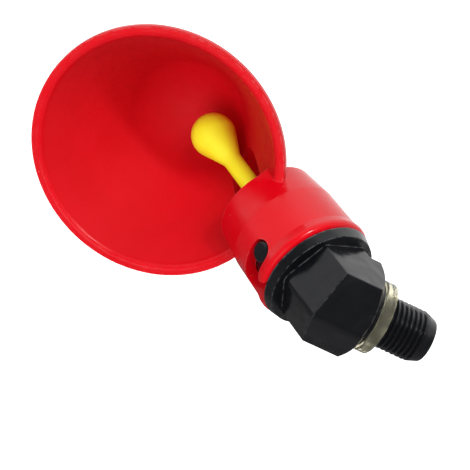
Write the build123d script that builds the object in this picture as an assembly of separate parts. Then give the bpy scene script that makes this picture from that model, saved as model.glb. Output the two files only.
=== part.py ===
from build123d import *
from math import asin, atan2, cos, degrees, hypot, radians, sin, tan
import os

# Poultry drinking cup as it hangs on a wall or pipe. The threaded stem runs along +Y into the wall.
# The origin is on the stem's axis, at the washer's outer face, where the part bears on the wall.
# +Z is up and X is across, so the part is symmetric about the YZ plane.

# Angles, in degrees
elbow_bend = 56.0  # from the housing's axis to the stem's axis
housing_rise = 40.0  # the housing's axis above the plane of the rim
end_lean = 19.0  # the housing's end in the bowl, off square to its axis

# Bowl
rim_radius = 25.0
lip_width = 1.8
lip_height = 1.6
lip_round = 0.9
lip_inner_round = 1.2
bowl_depth = 30.0
bowl_draft = 27.0  # the side's slope from the bowl's axis, in degrees
bowl_wall = 1.5
pad_height = 0.3  # how much thicker the wall is inside the hood

# Housing, measured along its own axis from its mouth
housing_length = 16.0  # from the mouth to where the axis crosses below the rim's edge
mouth_radius = 11.3
waist_radius = 10.95
waist_depth = 11.5  # from here on the housing narrows more
hood_end_radius = 9.65
mouth_flare = 0.25
flare_length = 3.0
mouth_round = 1.2
hood_length = 21.0  # from the mouth to the housing's end, on the axis
socket_radius = 8.8
socket_depth = 15.1
valve_wall = 2.0
valve_hole_radius = 3.6
hood_wall = 2.0
throat_radius = 4.3  # room for the trigger's stick to swing
throat_wall = 1.7

# Bayonet
lug_radius = 2.0
lug_clearance = 0.3
lug_depth = 4.9  # from the mouth to the lug's centre
lug_sink = 0.15  # the lug's end below the housing's surface
lug_round = 0.5
unlock_angle = 35.0
leg_half_angle = 14.0
lug_count = 2

# Spigot, a running fit in the housing
spigot_clearance = 0.1
flange_radius = 11.2
flange_front_radius = 10.7
flange_thickness = 1.9
mouth_gap = 0.3
nose_gap = 0.3
nose_chamfer = 0.8
chamber_radius = 6.0
chamber_depth = 10.2
channel_radius = 2.6

# O-ring on the spigot
ring_cord = 1.5
ring_depth = 9.7  # from the mouth to the ring's centre
ring_clearance = 0.05
groove_side_gap = 0.15

# Hexagonal elbow and threaded stem
hex_radius = 9.6
outer_corner_round = 2.0  # the corner on the bend's outer side
corner_round = 0.4
hex_chamfer = 1.5
chamfer_angle = 30.0  # the hexagon's end chamfer, off square to the stem
flange_to_bend = 5.2
bend_to_hex_end = 5.7
collar_length = 1.3
collar_radius = 6.2
relief_radius = 4.4  # the undercut below the washer
stem_radius = 5.0
thread_length = 7.5
lead_length = 2.5
lead_end_radius = 4.1
tip_round = 0.5

# Sealing washer
washer_radius = 7.0
washer_thickness = 2.2
washer_bore_clearance = 0.1
washer_round = 0.35

# Trigger
head_radius = 4.45
head_gap = 1.65  # from the head's line of travel to the bowl's rounded bottom
head_back = 2.5  # the head's centre short of the place where that line is nearest the bottom
neck_length = 7.6
neck_round = 4.0
stick_radius = 1.88
disc_radius = 5.2
disc_thickness = 1.6
boss_radius = 2.4
boss_height = 1.4

# Valve seal and spring
seal_thickness = 1.5
seal_clearance = 0.1
seal_bore_radius = 3.2
spring_mean_radius = 3.4
wire_radius = 0.3
spring_turns = 5
spring_seat_gap = 0.05

# Tools that cut: how far one runs past a face, and a length greater than the whole part's
overrun = 5.0
far = 90.0


def unit(angle):
    """A direction in the plane of symmetry, at this angle above the stem's axis."""
    return Vector(0, cos(radians(angle)), sin(radians(angle)))


# The bowl's ball-shaped bottom is tangent to its sloping side
bowl_radius = rim_radius - lip_width
side_slope = radians(bowl_draft)
bottom_radius = (bowl_radius * cos(side_slope) - bowl_depth * sin(side_slope)) / (1 - sin(side_slope))
bottom_centre = bowl_depth - bottom_radius

# The housing's axis passes the bottom at the head's distance. It crosses below the rim's edge by axis_drop.
rise = radians(housing_rise)
axis_offset = bottom_radius - head_radius - head_gap
axis_drop = bottom_centre + (axis_offset - rim_radius * sin(rise)) / cos(rise)
nearest_reach = housing_length + rim_radius * cos(rise) + (bottom_centre - axis_drop) * sin(rise)
head_reach = nearest_reach - head_back
head_start = head_reach - neck_length

# Directions and reference points
stem_axis = unit(0)
housing_axis = unit(elbow_bend)
rim_outward = unit(elbow_bend - housing_rise)
rim_up = unit(elbow_bend - housing_rise + 90)
bend_point = stem_axis * -(bend_to_hex_end + collar_length + washer_thickness)
mouth_point = bend_point - housing_axis * (flange_to_bend + flange_thickness + mouth_gap)
crossing_point = mouth_point - housing_axis * housing_length
rim_centre = crossing_point - rim_outward * rim_radius + rim_up * axis_drop

# Local frames. The mouth's z runs down the housing's axis towards the bowl and its x is the upper side.
# The cup's z runs down from the rim.
stem_frame = Plane(origin=(0, 0, 0), x_dir=(0, 0, 1), z_dir=stem_axis)
mouth_frame = Plane(origin=mouth_point, x_dir=unit(elbow_bend + 90), z_dir=-housing_axis)
cup_frame = Plane(origin=rim_centre, x_dir=rim_outward, z_dir=-rim_up)

# Places along the housing's axis
seal_top = socket_depth - seal_thickness
disc_top = seal_top - disc_thickness
nose_depth = seal_top - nose_gap
chamber_top = nose_depth - chamber_depth
spigot_radius = socket_radius - spigot_clearance
valve_wall_end = socket_depth + valve_wall


def turned(points, frame):
    """A solid of revolution about the frame's z axis, from (radius, height) points."""
    face = make_face(Polyline(*[(r, 0, z) for r, z in points], close=True))
    return frame.location * revolve(face, Axis.Z)


def housing_radius(depth):
    """The housing's outer radius at this depth from its mouth, without the flare."""
    if depth < waist_depth:
        return mouth_radius - (mouth_radius - waist_radius) * depth / waist_depth
    past_waist = (depth - waist_depth) / (hood_length - waist_depth)
    return waist_radius - (waist_radius - hood_end_radius) * past_waist


def end_arc(radius, centre, angle):
    """The arc of a ball on the z axis, from this many degrees past its widest circle to its far pole."""
    start = radians(angle)
    middle = radians((angle + 90) / 2)
    return ThreePointArc(
        (radius * cos(start), 0, centre + radius * sin(start)),
        (radius * cos(middle), 0, centre + radius * sin(middle)),
        (0, 0, centre + radius),
    )


def bowl_space(growth, above):
    """The bowl's inside with its surface moved outwards, from this height above the rim's plane."""
    side = bowl_radius + growth / cos(side_slope)
    arc = end_arc(bottom_radius + growth, bottom_centre, bowl_draft)
    top = (side + above * tan(side_slope), 0, -above)
    profile = [Line((0, 0, -above), top), Line(top, arc @ 0), arc, Line(arc @ 1, (0, 0, -above))]
    return revolve(make_face(profile), Axis.Z)


def along_axis(radius, start, end):
    """A round bar on the housing's axis, between two depths from its mouth."""
    bar = Cylinder(radius, end - start, align=(Align.CENTER, Align.CENTER, Align.MIN))
    return mouth_frame.location * Pos(0, 0, start) * bar


def throat(radius, start):
    """A bar on the housing's axis with a ball-shaped end, for the channel that the stick lies in."""
    arc = end_arc(radius, head_start, 0)
    profile = [Line((0, 0, start), (radius, 0, start)), Line((radius, 0, start), arc @ 0), arc]
    profile.append(Line(arc @ 1, (0, 0, start)))
    return mouth_frame.location * revolve(make_face(profile), Axis.Z)


def housing_tube(tube_end):
    """The housing's outside, with its flared and rounded mouth, down to this depth."""
    flared = mouth_radius + mouth_flare
    points = [
        (0, 0),
        (flared, 0),
        (flared, mouth_round + lug_clearance),
        (housing_radius(flare_length), flare_length),
        (waist_radius, waist_depth),
        (housing_radius(tube_end), tube_end),
        (0, tube_end),
    ]
    tube = turned(points, Plane.XY)
    front = tube.edges().filter_by(GeomType.CIRCLE).sort_by(Axis.Z)[0]
    return mouth_frame.location * fillet(front, mouth_round)


def sector(inner, outer, start, end, low, high):
    """A piece of a ring between two angles and two depths, on the mouth's frame."""
    middle = radians((start + end) / 2)
    reach = outer / cos(radians(end - start) / 2) + overrun
    wedge = Polygon(
        (0, 0),
        (reach * cos(radians(start)), reach * sin(radians(start))),
        (reach * cos(middle), reach * sin(middle)),
        (reach * cos(radians(end)), reach * sin(radians(end))),
        align=None,
    )
    ring = (Circle(outer) - Circle(inner)) & wedge
    return Pos(0, 0, low) * extrude(ring, high - low)


def radial_pin(radius, angle, depth, inner, outer):
    """A round pin that stands out from the housing's axis, on the mouth's frame."""
    place = Rot(0, 0, angle) * Pos(inner, 0, depth) * Rot(0, 90, 0)
    return place * Cylinder(radius, outer - inner, align=(Align.CENTER, Align.CENTER, Align.MIN))


def bayonet_slot():
    """One J-shaped slot: a leg from the mouth, a run round the wall, and a round-nosed tongue between."""
    inner = spigot_radius - lug_clearance
    outer = mouth_radius + mouth_flare + overrun
    half = lug_radius + lug_clearance
    near_edge = lug_depth - half
    nose_radius = near_edge / 2
    tongue_tip = -unlock_angle + leg_half_angle
    nose_angle = tongue_tip + degrees(nose_radius / mouth_radius)
    leg_start = -unlock_angle - leg_half_angle
    slot = sector(inner, outer, leg_start, nose_angle, -overrun, lug_depth)
    slot += sector(inner, outer, leg_start, 0, near_edge, lug_depth + half)
    slot += radial_pin(half, 0, lug_depth, inner, outer)
    slot -= radial_pin(nose_radius, nose_angle, nose_radius, 0, far)
    return slot


def make_cup():
    """The red moulding: bowl, rolled rim, and the housing with its socket, valve hole and bayonet slots."""
    lip = turned([(0, 0), (rim_radius, 0), (rim_radius, lip_height), (0, lip_height)], Plane.XY)
    lip = fillet(lip.edges().filter_by(GeomType.CIRCLE).sort_by(Axis.Z)[0], lip_round)
    bowl = bowl_space(bowl_wall, 0) + lip - bowl_space(0, far)
    top_edges = bowl.edges().filter_by(GeomType.CIRCLE).group_by(Axis.Z)[0]
    bowl = cup_frame.location * fillet(top_edges.sort_by(SortBy.RADIUS)[0], lip_inner_round)
    within_wall = cup_frame.location * bowl_space(bowl_wall / 2, far)
    bowl += throat(throat_radius + throat_wall, valve_wall_end) - within_wall

    end_plane = Plane(
        origin=mouth_point - housing_axis * hood_length,
        x_dir=(1, 0, 0),
        z_dir=-unit(elbow_bend - end_lean),
    )
    beyond = end_plane.location * Box(far, far, far, align=(Align.CENTER, Align.CENTER, Align.MIN))
    hood = housing_tube(hood_length + mouth_radius) - beyond
    hood &= within_wall

    hollow = along_axis(hood_end_radius - hood_wall, valve_wall_end, far)
    hollow &= cup_frame.location * bowl_space(-pad_height, far)

    slots = Part()
    for index in range(lug_count):
        slots += Rot(0, 0, index * 360 / lug_count) * bayonet_slot()

    cup = bowl + housing_tube(valve_wall_end + bowl_wall) + hood
    cup -= hollow
    cup -= throat(throat_radius, valve_wall_end)
    cup -= along_axis(socket_radius, -overrun, socket_depth)
    cup -= along_axis(valve_hole_radius, 0, valve_wall_end + overrun)
    cup -= mouth_frame.location * slots
    return cup


def make_trigger():
    """The yellow moulding: round head, cone, stick, valve disc and the boss that centres the spring."""
    boss_start = disc_top - boss_height
    # the cone meets the round head where its side is tangent to it
    cone_angle = asin(head_radius / hypot(stick_radius, neck_length)) - atan2(stick_radius, neck_length)
    arc = end_arc(head_radius, head_reach, -degrees(cone_angle))
    profile = Polyline(
        (0, 0, boss_start),
        (boss_radius, 0, boss_start),
        (boss_radius, 0, disc_top),
        (disc_radius, 0, disc_top),
        (disc_radius, 0, seal_top),
        (stick_radius, 0, seal_top),
        (stick_radius, 0, head_start),
        arc @ 0,
    )
    outline = [profile, arc, Line(arc @ 1, (0, 0, boss_start))]
    trigger = revolve(make_face(outline), Axis.Z)
    neck = trigger.edges().filter_by(GeomType.CIRCLE).filter_by_position(
        Axis.Z, head_start - wire_radius, head_start + wire_radius
    )
    return mouth_frame.location * fillet(neck, neck_round)


def make_seal():
    """The flat rubber ring that the trigger's disc closes on."""
    outer = socket_radius - seal_clearance
    return turned(
        [(seal_bore_radius, seal_top), (outer, seal_top), (outer, socket_depth), (seal_bore_radius, socket_depth)],
        mouth_frame,
    )


def make_spring():
    """The steel spring between the top of the spigot's chamber and the trigger's disc."""
    start = chamber_top + wire_radius + spring_seat_gap
    height = disc_top - chamber_top - 2 * (wire_radius + spring_seat_gap)
    path = Helix(height / spring_turns, height, spring_mean_radius)
    section = Plane(origin=path @ 0, z_dir=path % 0) * Circle(wire_radius)
    return mouth_frame.location * Pos(0, 0, start) * sweep(section, path=path, is_frenet=True)


def make_ring():
    """The O-ring in its groove on the spigot."""
    centre_radius = socket_radius - ring_clearance - ring_cord / 2
    return mouth_frame.location * Pos(0, 0, ring_depth) * Torus(centre_radius, ring_cord / 2)


def hexagon(frame, low, high):
    """A hexagonal bar with one corner, the most rounded, on the upper side of its axis."""
    section = RegularPolygon(hex_radius, 6)
    corners = section.vertices().sort_by(Axis.X)
    section = fillet(corners[:-1], corner_round)
    section = fillet(section.vertices().sort_by(Axis.X)[-1], outer_corner_round)
    return frame.location * (Pos(0, 0, low) * extrude(section, high - low))


def make_connector():
    """The black moulding: spigot with lugs, flange, mitred hexagonal elbow, collar and stem."""
    bend_depth = -(flange_to_bend + flange_thickness + mouth_gap)
    flange_low = bend_depth + flange_to_bend
    groove_floor = socket_radius - ring_clearance - ring_cord - groove_side_gap
    groove_half = ring_cord / 2 + groove_side_gap
    spigot = turned(
        [
            (0, flange_low),
            (flange_front_radius, flange_low),
            (flange_radius, flange_low + flange_thickness),
            (spigot_radius, flange_low + flange_thickness),
            (spigot_radius, ring_depth - groove_half),
            (groove_floor, ring_depth - groove_half),
            (groove_floor, ring_depth + groove_half),
            (spigot_radius, ring_depth + groove_half),
            (spigot_radius, nose_depth - nose_chamfer),
            (spigot_radius - nose_chamfer, nose_depth),
            (chamber_radius, nose_depth),
            (chamber_radius, chamber_top),
            (0, chamber_top),
        ],
        mouth_frame,
    )
    lug_end = housing_radius(lug_depth) - lug_sink
    for index in range(lug_count):
        angle = index * 360 / lug_count
        lug = radial_pin(lug_radius, 0, lug_depth, chamber_radius + lug_round, lug_end)
        lug = fillet(lug.edges().filter_by(GeomType.CIRCLE).sort_by(Axis.X)[-1], lug_round)
        spigot += mouth_frame.location * Rot(0, 0, angle) * lug

    mitre = Plane(origin=bend_point, x_dir=(1, 0, 0), z_dir=unit(elbow_bend / 2))
    stem_side = mitre.location * Box(far, far, far, align=(Align.CENTER, Align.CENTER, Align.MIN))
    hex_end = -washer_thickness - collar_length
    along_housing = hexagon(mouth_frame, bend_depth - 2 * hex_radius, flange_low) - stem_side
    chamfered = turned(
        [
            (0, hex_end - far),
            (hex_radius, hex_end - far),
            (hex_radius, hex_end - hex_chamfer * tan(radians(chamfer_angle))),
            (hex_radius - hex_chamfer, hex_end),
            (0, hex_end),
        ],
        stem_frame,
    )
    along_stem = hexagon(stem_frame, hex_end - 2 * far, hex_end) & stem_side & chamfered

    stem = turned(
        [
            (0, hex_end - overrun),
            (collar_radius, hex_end - overrun),
            (collar_radius, -washer_thickness),
            (relief_radius, -washer_thickness),
            (relief_radius, 0),
            (stem_radius, 0),
            (stem_radius, thread_length),
            (lead_end_radius, thread_length + lead_length),
            (0, thread_length + lead_length),
        ],
        Plane.XY,
    )
    tip = stem.edges().filter_by(GeomType.CIRCLE).sort_by(Axis.Z)[-1]
    stem = stem_frame.location * fillet(tip, tip_round)

    stem_channel = turned(
        [
            (0, hex_end - bend_to_hex_end),
            (channel_radius, hex_end - bend_to_hex_end),
            (channel_radius, thread_length + lead_length + overrun),
            (0, thread_length + lead_length + overrun),
        ],
        stem_frame,
    )
    spigot_channel = along_axis(channel_radius, bend_depth, chamber_top + overrun)
    body = spigot + along_housing + along_stem + stem
    body -= stem_channel
    body -= spigot_channel
    body -= Pos(*bend_point) * Sphere(channel_radius)
    return body


def make_washer():
    """The flat sealing washer, pushed over the stem up to its shoulder."""
    inner = stem_radius + washer_bore_clearance
    washer = turned(
        [(inner, -washer_thickness), (washer_radius, -washer_thickness), (washer_radius, 0), (inner, 0)],
        Plane.XY,
    )
    rims = washer.edges().filter_by(GeomType.CIRCLE).group_by(SortBy.RADIUS)[-1]
    return stem_frame.location * fillet(rims, washer_round)


nodes = {
    "drinking_cup": make_cup,
    "trigger": make_trigger,
    "valve_seal": make_seal,
    "valve_spring": make_spring,
    "o_ring": make_ring,
    "elbow_connector": make_connector,
    "sealing_washer": make_washer,
}

os.makedirs("parts", exist_ok=True)
for name, make in nodes.items():
    export_step(make(), f"parts/{name}.step")
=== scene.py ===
import math

import bmesh
import bpy
from mathutils import Matrix, Vector


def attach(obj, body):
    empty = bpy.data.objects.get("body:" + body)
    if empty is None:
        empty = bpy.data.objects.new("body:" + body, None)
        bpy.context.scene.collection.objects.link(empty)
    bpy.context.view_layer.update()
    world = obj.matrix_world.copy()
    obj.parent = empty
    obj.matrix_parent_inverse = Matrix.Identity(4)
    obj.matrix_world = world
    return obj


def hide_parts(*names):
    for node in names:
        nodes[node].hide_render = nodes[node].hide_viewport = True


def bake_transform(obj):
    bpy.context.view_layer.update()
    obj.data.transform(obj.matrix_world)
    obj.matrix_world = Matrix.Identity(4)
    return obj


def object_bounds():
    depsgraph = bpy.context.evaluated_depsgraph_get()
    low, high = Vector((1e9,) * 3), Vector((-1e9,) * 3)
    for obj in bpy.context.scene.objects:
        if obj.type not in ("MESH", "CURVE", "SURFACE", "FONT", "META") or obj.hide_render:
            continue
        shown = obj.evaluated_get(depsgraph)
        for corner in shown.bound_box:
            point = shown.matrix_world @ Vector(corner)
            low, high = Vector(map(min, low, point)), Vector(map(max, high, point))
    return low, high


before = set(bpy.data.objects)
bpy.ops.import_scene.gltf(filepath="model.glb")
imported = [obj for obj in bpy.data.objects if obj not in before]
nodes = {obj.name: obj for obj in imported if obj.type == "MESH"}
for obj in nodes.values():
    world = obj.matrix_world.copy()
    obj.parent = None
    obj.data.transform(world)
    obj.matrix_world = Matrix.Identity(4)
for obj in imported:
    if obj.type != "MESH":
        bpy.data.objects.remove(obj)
cad_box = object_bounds()

MM = 0.001

# Thread of the stem, metric 10 x 1
STEM_AXIS = Vector((0.0, 1.0, 0.0))
PITCH = 1.0 * MM
CREST_RADIUS = 5.0 * MM
GROOVE_DEPTH = 0.61 * MM
GROOVE_HALF_ANGLE = math.radians(30)
GROOVE_ROOT_HALF_WIDTH = 0.03 * MM
GROOVE_OVERRUN = 0.05 * MM  # how far the cutting bar stands out of the stem
THREAD_START = -0.6 * MM
THREAD_END = 7.9 * MM
STEPS_PER_TURN = 64
WELD_DISTANCE = 0.001 * MM
SHARP_ANGLE = math.radians(20)

# Inner face of the bowl, a cone that ends in a ball
BOWL_CENTRE = Vector((0.0, -47.70, -21.48)) * MM
BOWL_DOWN = Vector((0.0, 0.2756, -0.9613))
BOWL_RADIUS = 23.2 * MM
BOWL_DRAFT = math.radians(27)
BOTTOM_RADIUS = 12.9 * MM
BOTTOM_DEPTH = 17.1 * MM
HALF_WALL = 0.75 * MM
LIP_FADE = 1.5 * MM  # depth below the rim at which the satin is full

# Colours. A pair is the two that a material drifts between.
RED = ((0.53, 0.0006, 0.005, 1), (0.57, 0.0010, 0.007, 1))
RED_WEAR_AND_HIGHLIGHT = (0.66, 0.16, 0.16, 1)
YELLOW = ((0.85, 0.83, 0.02, 1), (0.89, 0.88, 0.03, 1))
BLACK = ((0.003, 0.0033, 0.0045, 1), (0.0045, 0.0047, 0.006, 1))
BLACK_WEAR_AND_HIGHLIGHT = (0.06, 0.06, 0.064, 1)
IVORY = ((0.86, 0.81, 0.56, 1), (0.95, 0.92, 0.72, 1))
RUBBER = ((0.012, 0.012, 0.012, 1), (0.03, 0.03, 0.03, 1))
STEEL = ((0.5, 0.5, 0.5, 1), (0.66, 0.65, 0.63, 1))
WHITE = (1, 1, 1, 1)
FLOOR_WHITE = (0.9, 0.9, 0.9, 1)
CARD_GREY = (0.12, 0.12, 0.12, 1)

# Noise, lighter edges that are partly wear and partly painted highlight, and specks
NOISE_SPAN = (0.3, 0.7)  # most of the noise lies between these heights
EDGE_MARK_PATCHES = (0.42, 0.60)  # heights of the noise, where the edge wear and painted highlight start and where they are full
EDGE_TURN = (0.82, 0.985)  # cosine between rounded and flat normal, where the edge wear and painted highlight are full and where they end
EDGE_MARK_BODY = (-3.0 * MM, -2.5 * MM)  # along the stem's axis, where the edge wear and painted highlight are still full and where they end
SPECK_SPACING = 4.0 * MM
SPECK_RADIUS = 0.2 * MM
SPECK_CORE = 0.6  # share of a speck's radius that shows in full
RED_MARKS_AND_HIGHLIGHT = 0.35  # how strongly the colour of the wear, specks and painted edge highlight shows on the red

# Roughness that is added to a material's own
SATIN = 0.45  # inside the bowl
RUBBED = 0.15  # on the black edges

# Camera, fitted to the photograph
EYE = Vector((-178.9, -119.5, 329.7)) * MM
AIM = Vector((5.5, -27.7, -16.0)) * MM
ROLL = math.radians(177.9)
LENS = 162.8
SENSOR = 36.0
CLIP_START = 0.01
CLIP_END = 20.0

# Studio
FLOOR_DROP = 0.16  # the floor below the object's lowest point
FLOOR_SIZE = 6.0
FLOOR_GLOW = 0.7  # to the camera
MIRRORED_GLOW = 0.2  # the floor's glow in a mirrored view
STAGE_ROUGHNESS = 0.9
WORLD_LIGHT = 0.57  # what the surroundings shed on the object
HORIZON = 0.8  # how bright they are in a mirrored view, low down
HORIZON_HEIGHT = 0.05  # upward part of the direction where they start to dim
CEILING = 0.10  # how bright they are in a mirrored view, high up
CEILING_HEIGHT = 0.35  # upward part of the direction from which they stay so
CARD_X = 0.16
CARD_START = -0.5
CARD_END = 0.3
CARD_TOP = 0.25
LAMP_DISTANCE = 0.65

# Lamps, each with its name, direction from the object (right, up and back of the camera), size, power and
# whether gloss mirrors it
LAMPS = (
    ("key", (0.25, 0.30, 0.92), 0.30, 2.0, False),
    ("fill", (-0.36, -0.40, 0.84), 0.45, 2.5, False),
    ("spark", (0.34, 0.40, 0.86), 0.06, 1.0, True),
)


class Nodes:
    """A node tree, with short ways to add and join nodes."""

    def __init__(self, tree):
        self.tree = tree

    def add(self, kind, **settings):
        node = self.tree.nodes.new(kind)
        for name, value in settings.items():
            setattr(node, name, value)
        return node

    def join(self, output, socket):
        self.tree.links.new(output, socket)

    def fill(self, socket, value):
        """Gives a socket a value, or joins an output to it."""
        if isinstance(value, bpy.types.NodeSocket):
            self.join(value, socket)
        else:
            socket.default_value = value

    def calculate(self, kind, operation, *values):
        """A Math or VectorMath node on outputs, numbers and vectors."""
        node = self.add(kind, operation=operation)
        for value, socket in zip(values, node.inputs):
            self.fill(socket, value)
        return next(output for output in node.outputs if output.enabled)

    def number(self, operation, *values):
        return self.calculate("ShaderNodeMath", operation, *values)

    def vector(self, operation, *values):
        return self.calculate("ShaderNodeVectorMath", operation, *values)

    def spread(self, value, low, high, start=0, end=1):
        """A value from start to end, stretched over low to high. The limits are numbers or outputs."""
        node = self.add("ShaderNodeMapRange")
        limits = {"From Min": start, "From Max": end, "To Min": low, "To Max": high}
        for name, limit in limits.items():
            self.fill(node.inputs[name], limit)
        self.join(value, node.inputs["Value"])
        return node.outputs["Result"]

    def by_ray(self, camera, mirrored, rest):
        """One number for the camera's own rays, one for mirrored and refracted ones, and one for the rest."""
        path = self.add("ShaderNodeLightPath").outputs
        bounced = self.number("MAXIMUM", path["Is Glossy Ray"], path["Is Transmission Ray"])
        return self.spread(path["Is Camera Ray"], self.spread(bounced, rest, mirrored), camera)


class Shader(Nodes):
    """A material's nodes, with patterns that lie in the part's own frame."""

    def __init__(self, name):
        self.material = bpy.data.materials.new(name)
        self.material.use_nodes = True
        super().__init__(self.material.node_tree)
        self.bsdf = self.tree.nodes["Principled BSDF"]
        self.position = self.add("ShaderNodeTexCoord").outputs["Object"]

    def feed(self, name, output):
        """Joins an output to one of the surface's inputs."""
        self.join(output, self.bsdf.inputs[name])

    def set(self, **values):
        """Sets inputs of the surface that are the same all over it."""
        for name, value in values.items():
            self.bsdf.inputs[name.replace("_", " ")].default_value = value

    def blend(self, value, first, second):
        """A colour between two colours or outputs, by a value from 0 to 1."""
        node = self.add("ShaderNodeMix", data_type="RGBA")
        self.fill(node.inputs["A"], first)
        self.fill(node.inputs["B"], second)
        self.join(value, node.inputs["Factor"])
        return node.outputs["Result"]

    def noise(self, size, detail):
        """Noise whose blotches are about this many metres across."""
        node = self.add("ShaderNodeTexNoise")
        node.inputs["Scale"].default_value = 1 / size
        node.inputs["Detail"].default_value = detail
        self.join(self.position, node.inputs["Vector"])
        return node.outputs["Fac"]

    def drift(self, size, detail, low=0, high=1, span=NOISE_SPAN):
        """A number that drifts between low and high, in blotches of this size."""
        return self.spread(self.noise(size, detail), low, high, *span)

    def specks(self, spacing, radius):
        """1 in small sparse dots of this radius, 0 elsewhere."""
        node = self.add("ShaderNodeTexVoronoi")
        node.inputs["Scale"].default_value = 1 / spacing
        self.join(self.position, node.inputs["Vector"])
        return self.spread(node.outputs["Distance"], 1, 0, SPECK_CORE * radius / spacing, radius / spacing)

    def rounded(self, radius, samples):
        """The surface's normal with its edges rounded."""
        bevel = self.add("ShaderNodeBevel", samples=samples)
        bevel.inputs["Radius"].default_value = radius
        return bevel.outputs["Normal"]

    def wear_and_highlight(self, width, patch):
        """Patchy lighter edges, 0 to 1, from how far a rounded normal turns from the flat one: partly wear,
        partly painted highlight.
        """
        flat = self.add("ShaderNodeNewGeometry").outputs["Normal"]
        turn = self.vector("DOT_PRODUCT", self.rounded(width, samples=8), flat)
        edge = self.spread(turn, 1, 0, *EDGE_TURN)
        return self.number("MULTIPLY", edge, self.drift(patch, detail=4, span=EDGE_MARK_PATCHES))

    def relief(self, layers, edge_radius=0.0):
        """Bump from layers of noise, each with size, detail and depth, over edges rounded to a radius."""
        normal = self.rounded(edge_radius, samples=6) if edge_radius else None
        for size, detail, depth in layers:
            bump = self.add("ShaderNodeBump")
            bump.inputs["Distance"].default_value = depth
            self.join(self.noise(size, detail), bump.inputs["Height"])
            if normal:
                self.join(normal, bump.inputs["Normal"])
            normal = bump.outputs["Normal"]
        self.feed("Normal", normal)


def bowl_inside(s):
    """1 on the bowl's inner face, fading to 0 over its lip, and 0 on the rest of the cup."""
    away = s.vector("SUBTRACT", s.position, BOWL_CENTRE)
    depth = s.vector("DOT_PRODUCT", away, BOWL_DOWN)
    radius = s.vector("LENGTH", s.vector("CROSS_PRODUCT", away, BOWL_DOWN))
    narrowing = s.number("MULTIPLY", depth, math.tan(BOWL_DRAFT))
    in_cone = s.number("LESS_THAN", s.number("ADD", radius, narrowing), BOWL_RADIUS + HALF_WALL)
    above = s.number("LESS_THAN", depth, BOTTOM_DEPTH + BOTTOM_RADIUS * math.sin(BOWL_DRAFT))
    from_bottom = s.vector("DISTANCE", s.position, BOWL_CENTRE + BOWL_DOWN * BOTTOM_DEPTH)
    in_ball = s.number("LESS_THAN", from_bottom, BOTTOM_RADIUS + HALF_WALL)
    within = s.number("MAXIMUM", s.number("MULTIPLY", in_cone, above), in_ball)
    return s.number("MULTIPLY", within, s.spread(depth, 0, 1, 0, LIP_FADE))


def red_plastic():
    """Glossy moulded plastic with faint blotches, lighter edges that are partly wear and partly painted
    highlight, and specks. The bowl's inside is satin.
    """
    s = Shader("red_plastic")
    moulded = s.blend(s.drift(9 * MM, detail=2), *RED)
    # the lighter edges are partly wear and partly painted highlight
    marks = s.number("MAXIMUM", s.wear_and_highlight(0.5 * MM, patch=1.0 * MM), s.specks(SPECK_SPACING, SPECK_RADIUS))
    wear_and_highlight = s.number("MULTIPLY", marks, RED_MARKS_AND_HIGHLIGHT)
    s.feed("Base Color", s.blend(wear_and_highlight, moulded, RED_WEAR_AND_HIGHLIGHT))
    gloss = s.drift(2.5 * MM, detail=4, low=0.15, high=0.27)
    s.feed("Roughness", s.number("MULTIPLY_ADD", bowl_inside(s), SATIN, gloss))
    s.relief([(7 * MM, 1, 0.06 * MM), (0.35 * MM, 3, 0.001 * MM)])
    s.set(IOR=1.49, Specular_IOR_Level=0.36)
    return s.material


def yellow_plastic():
    """Bright yellow, a little softer in its gloss, with light scattered under the skin."""
    s = Shader("yellow_plastic")
    s.feed("Base Color", s.blend(s.drift(4 * MM, detail=2), *YELLOW))
    s.feed("Roughness", s.drift(0.9 * MM, detail=3, low=0.32, high=0.44))
    s.relief([(2.5 * MM, 1, 0.05 * MM), (0.3 * MM, 3, 0.006 * MM)], edge_radius=0.2 * MM)
    s.set(
        IOR=1.49,
        Subsurface_Weight=0.15,
        Subsurface_Radius=(1.0 * MM, 0.7 * MM, 0.2 * MM),
        Subsurface_Scale=1.0,
    )
    return s.material


def black_plastic():
    """Black moulded plastic with uneven gloss, and lighter edges on the body but not on the thread, partly
    rubbed wear and partly painted highlight.
    """
    s = Shader("black_plastic")
    moulded = s.blend(s.drift(6 * MM, detail=2), *BLACK)
    along = s.vector("DOT_PRODUCT", s.position, STEM_AXIS)
    # the lighter edges are partly rubbed wear and partly painted highlight
    wear_and_highlight = s.number("MULTIPLY", s.wear_and_highlight(0.6 * MM, patch=1.3 * MM), s.spread(along, 1, 0, *EDGE_MARK_BODY))
    s.feed("Base Color", s.blend(wear_and_highlight, moulded, BLACK_WEAR_AND_HIGHLIGHT))
    gloss = s.drift(2.2 * MM, detail=4, low=0.15, high=0.28)
    s.feed("Roughness", s.number("MULTIPLY_ADD", wear_and_highlight, RUBBED, gloss))
    s.relief([(4 * MM, 1, 0.25 * MM), (0.4 * MM, 3, 0.006 * MM)], edge_radius=0.28 * MM)
    s.set(IOR=1.52)
    return s.material


def ivory_plastic():
    """Clear plastic with an ivory tint and a faint haze."""
    s = Shader("ivory_plastic")
    s.feed("Base Color", s.blend(s.drift(2 * MM, detail=3), *IVORY))
    s.feed("Roughness", s.drift(1.2 * MM, detail=3, low=0.08, high=0.16))
    s.relief([(1.2 * MM, 2, 0.05 * MM), (0.3 * MM, 2, 0.008 * MM)], edge_radius=0.2 * MM)
    s.set(
        IOR=1.45,
        Transmission_Weight=0.96,
        Subsurface_Weight=0.3,
        Subsurface_Radius=(1.2 * MM, 1.0 * MM, 0.7 * MM),
        Subsurface_Scale=1.0,
    )
    return s.material


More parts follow.
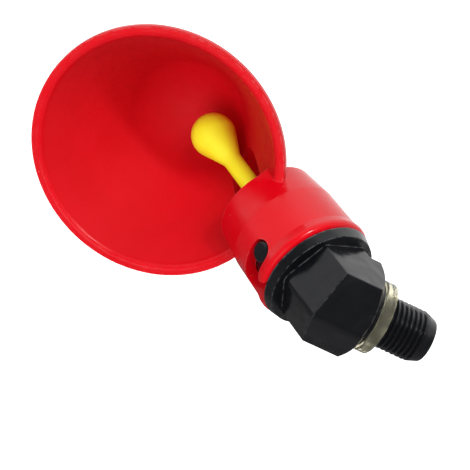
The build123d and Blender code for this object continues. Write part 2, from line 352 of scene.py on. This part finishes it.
def black_rubber():
    """Matt rubber with a powdery bloom."""
    s = Shader("black_rubber")
    s.feed("Base Color", s.blend(s.drift(0.8 * MM, detail=4), *RUBBER))
    s.feed("Roughness", s.drift(0.5 * MM, detail=2, low=0.6, high=0.8))
    s.relief([(0.25 * MM, 3, 0.01 * MM)], edge_radius=0.1 * MM)
    return s.material


def spring_steel():
    """Bright drawn wire with fine draw marks."""
    s = Shader("spring_steel")
    s.feed("Base Color", s.blend(s.drift(0.6 * MM, detail=3), *STEEL))
    s.feed("Roughness", s.drift(0.3 * MM, detail=2, low=0.18, high=0.3))
    s.relief([(0.12 * MM, 2, 0.003 * MM)])
    s.set(Metallic=1.0)
    return s.material


def floor_white():
    """Matt white that glows for the camera, less in a mirrored view, and sheds no light of its own."""
    s = Shader("floor_white")
    s.set(Base_Color=FLOOR_WHITE, Roughness=STAGE_ROUGHNESS, Specular_IOR_Level=0.0, Emission_Color=WHITE)
    s.feed("Emission Strength", s.by_ray(camera=FLOOR_GLOW, mirrored=MIRRORED_GLOW, rest=0.0))
    return s.material


def card_grey():
    """Matt grey."""
    s = Shader("card_grey")
    s.set(Base_Color=CARD_GREY, Roughness=STAGE_ROUGHNESS)
    return s.material


def dress(obj, material):
    """Gives an object one material."""
    obj.data.materials.clear()
    obj.data.materials.append(material)


def link(name, mesh):
    """A new object in the scene."""
    obj = bpy.data.objects.new(name, mesh)
    bpy.context.scene.collection.objects.link(obj)
    return obj


def thread_groove():
    """A closed helical bar of V section, to be cut out of the stem."""
    root = CREST_RADIUS - GROOVE_DEPTH
    top = CREST_RADIUS + GROOVE_OVERRUN
    narrow = GROOVE_ROOT_HALF_WIDTH
    wide = (top - root) * math.tan(GROOVE_HALF_ANGLE) + narrow
    section = [(root, -narrow), (root, narrow), (top, wide), (top, -wide)]
    turns = (THREAD_END - THREAD_START) / PITCH
    mesh = bmesh.new()
    rings = []
    for step in range(int(turns * STEPS_PER_TURN) + 1):
        angle = 2 * math.pi * step / STEPS_PER_TURN
        along = THREAD_START + PITCH * step / STEPS_PER_TURN
        rings.append(
            [mesh.verts.new((r * math.cos(angle), along + y, -r * math.sin(angle))) for r, y in section]
        )
    count = len(section)
    for ring, following in zip(rings, rings[1:]):
        for i in range(count):
            j = (i + 1) % count
            mesh.faces.new((ring[i], ring[j], following[j], following[i]))
    mesh.faces.new(rings[0])
    mesh.faces.new(rings[-1])
    bmesh.ops.recalc_face_normals(mesh, faces=mesh.faces)
    data = bpy.data.meshes.new("thread_groove")
    mesh.to_mesh(data)
    mesh.free()
    return link("thread_groove", data)


def threaded_connector(material):
    """The elbow with the real helix cut into its stem. It replaces the plain one."""
    plain = nodes["elbow_connector"]
    piece = link("elbow_connector_threaded", plain.data.copy())
    weld = piece.modifiers.new("weld", "WELD")
    weld.merge_threshold = WELD_DISTANCE
    groove = thread_groove()
    cut = piece.modifiers.new("thread", "BOOLEAN")
    cut.operation = "DIFFERENCE"
    cut.solver = "EXACT"
    cut.object = groove
    depsgraph = bpy.context.evaluated_depsgraph_get()
    piece.data = bpy.data.meshes.new_from_object(piece.evaluated_get(depsgraph))
    piece.modifiers.clear()
    bpy.data.objects.remove(groove)
    # the plain mesh's own normals don't fit the cut one
    piece.data.attributes.remove(piece.data.attributes["custom_normal"])
    piece.data.shade_smooth()
    piece.data.set_sharp_from_angle(angle=SHARP_ANGLE)
    dress(piece, material)
    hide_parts("elbow_connector")
    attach(piece, "connector")


def bending_spring(material):
    """A copy of the spring with its place baked into its mesh. It replaces the one from the model."""
    piece = link("valve_spring_bending", nodes["valve_spring"].data.copy())
    dress(piece, material)
    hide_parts("valve_spring")
    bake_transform(piece)


def camera():
    """The camera at the photograph's place and angle."""
    data = bpy.data.cameras.new("camera")
    data.sensor_width = SENSOR
    data.lens = LENS
    data.clip_start = CLIP_START
    data.clip_end = CLIP_END
    obj = link("camera", data)
    turn = (AIM - EYE).to_track_quat("-Z", "Y").to_matrix() @ Matrix.Rotation(-ROLL, 3, "Z")
    obj.matrix_world = Matrix.Translation(EYE) @ turn.to_4x4()
    bpy.context.scene.camera = obj
    return obj


def softbox(name, place, size, power, mirrored):
    """A round lamp that points at the object. Gloss mirrors it or not."""
    data = bpy.data.lights.new(name, "AREA")
    data.shape = "DISK"
    data.size = size
    data.energy = power
    obj = link(name, data)
    obj.location = place
    obj.rotation_mode = "QUATERNION"
    obj.rotation_quaternion = (AIM - place).to_track_quat("-Z", "Y")
    obj.visible_camera = False
    obj.visible_glossy = mirrored


def surroundings():
    """White to the camera. Mirrored, they dim from a pale horizon to a dark ceiling."""
    world = bpy.data.worlds.new("studio")
    bpy.context.scene.world = world
    world.use_nodes = True
    n = Nodes(world.node_tree)
    direction = n.add("ShaderNodeTexCoord").outputs["Generated"]
    parts = n.add("ShaderNodeSeparateXYZ")
    n.join(direction, parts.inputs["Vector"])
    mirrored = n.spread(parts.outputs["Z"], HORIZON, CEILING, HORIZON_HEIGHT, CEILING_HEIGHT)
    background = n.tree.nodes["Background"]
    n.fill(background.inputs["Color"], WHITE)
    n.join(n.by_ray(camera=1.0, mirrored=mirrored, rest=WORLD_LIGHT), background.inputs["Strength"])


def sheet(name, corners, material):
    """A flat sheet with four corners."""
    data = bpy.data.meshes.new(name)
    data.from_pydata(corners, [], [(0, 1, 2, 3)])
    obj = link(name, data)
    dress(obj, material)
    return obj


def studio(cam):
    """White surroundings, a floor that keeps a soft shadow, a card beside the elbow, and soft lamps."""
    surroundings()
    low = cad_box[0].z - FLOOR_DROP
    half = FLOOR_SIZE / 2
    corners = [(-half, -half, low), (half, -half, low), (half, half, low), (-half, half, low)]
    floor = sheet("floor", corners, floor_white())

    # only reflections show the card
    outline = ((CARD_START, low), (CARD_END, low), (CARD_END, CARD_TOP), (CARD_START, CARD_TOP))
    card = sheet("card", [(CARD_X, y, z) for y, z in outline], card_grey())
    card.visible_camera = False
    card.visible_diffuse = False
    card.visible_shadow = False

    turn = cam.matrix_world.to_3x3()
    for name, towards, size, power, mirrored in LAMPS:
        softbox(name, AIM + turn @ (Vector(towards).normalized() * LAMP_DISTANCE), size, power, mirrored)


bpy.context.scene.view_settings.view_transform = "Standard"
studio(camera())

rubber = black_rubber()
for name, material in (
    ("drinking_cup", red_plastic()),
    ("trigger", yellow_plastic()),
    ("sealing_washer", ivory_plastic()),
    ("valve_seal", rubber),
    ("o_ring", rubber),
):
    dress(nodes[name], material)

threaded_connector(black_plastic())
bending_spring(spring_steel())
